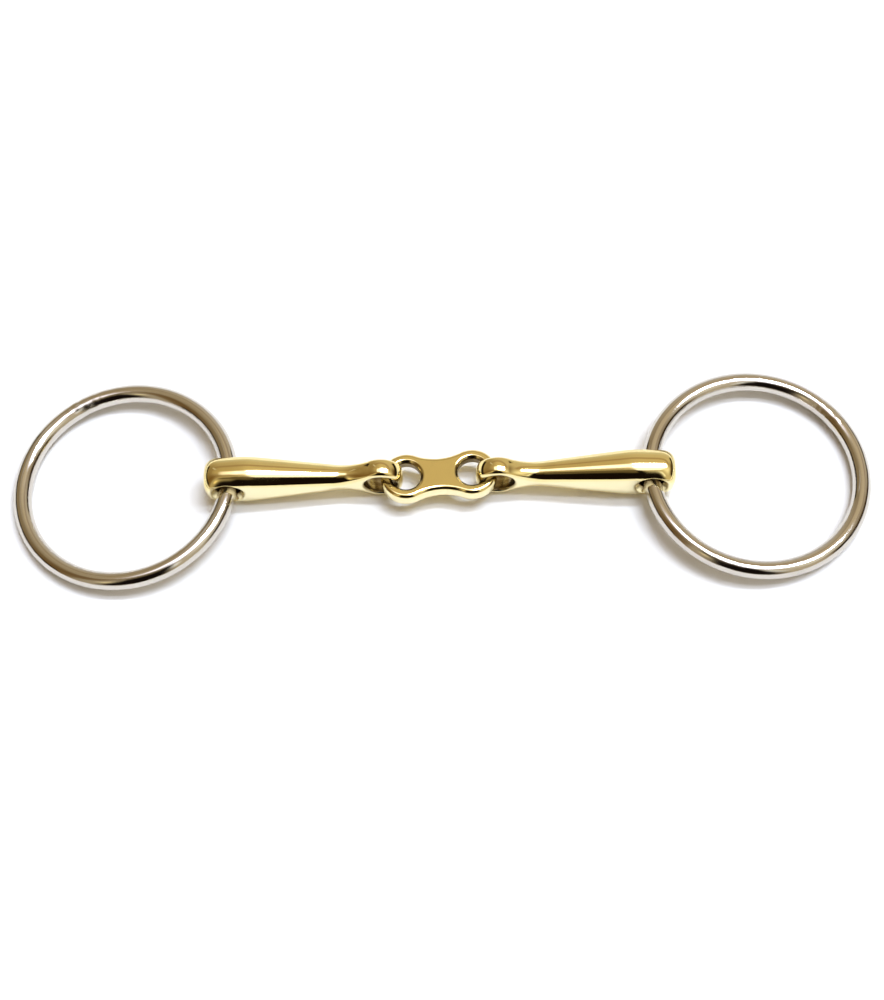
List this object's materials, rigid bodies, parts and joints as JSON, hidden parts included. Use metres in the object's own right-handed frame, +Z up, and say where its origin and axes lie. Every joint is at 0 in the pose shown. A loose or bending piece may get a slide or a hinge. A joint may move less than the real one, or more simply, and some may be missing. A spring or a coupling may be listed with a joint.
{
  "type": "snaffle bit",
  "caption": "Loose ring snaffle bit for a horse: tapered arms with flats, joined by a flat figure-eight French link, and a plain round ring running free in each outer end.",
  "frame": {"origin": "middle of the bit, on the flat surface it lies on", "axes": "+X along the mouthpiece towards the right ring, +Y away from the viewer along the ring holes, +Z up"},
  "size_m": [0.2854, 0.076, 0.016],
  "materials": {
    "gold_alloy": "polished, golden copper alloy",
    "steel": "polished stainless steel with fine wear"
  },
  "bodies": {
    "french_link": {"french_link": "gold_alloy"},
    "left_cannon": {"left_cannon": "gold_alloy"},
    "right_cannon": {"right_cannon": "gold_alloy"},
    "left_ring": {"left_ring": "steel"},
    "right_ring": {"right_ring": "steel"}
  },
  "joints": [
    {"name": "left_cannon_fold", "type": "hinge", "parent": "french_link", "child": "left_cannon", "pos_m": [-0.01088, -0.00067, 0.00698], "axis": [0, 0, 1], "range_deg": [-50, 50]},
    {"name": "right_cannon_fold", "type": "hinge", "parent": "french_link", "child": "right_cannon", "pos_m": [0.01088, 0.00067, 0.00698], "axis": [0, 0, 1], "range_deg": [-50, 50]},
    {"name": "left_ring_swing", "type": "hinge", "parent": "left_cannon", "child": "left_ring", "pos_m": [-0.06985, 0, 0.008], "axis": [0, 1, 0], "range_deg": [-120, 120]},
    {"name": "right_ring_swing", "type": "hinge", "parent": "right_cannon", "child": "right_ring", "pos_m": [0.06985, 0, 0.008], "axis": [0, 1, 0], "range_deg": [-120, 120]}
  ]
}
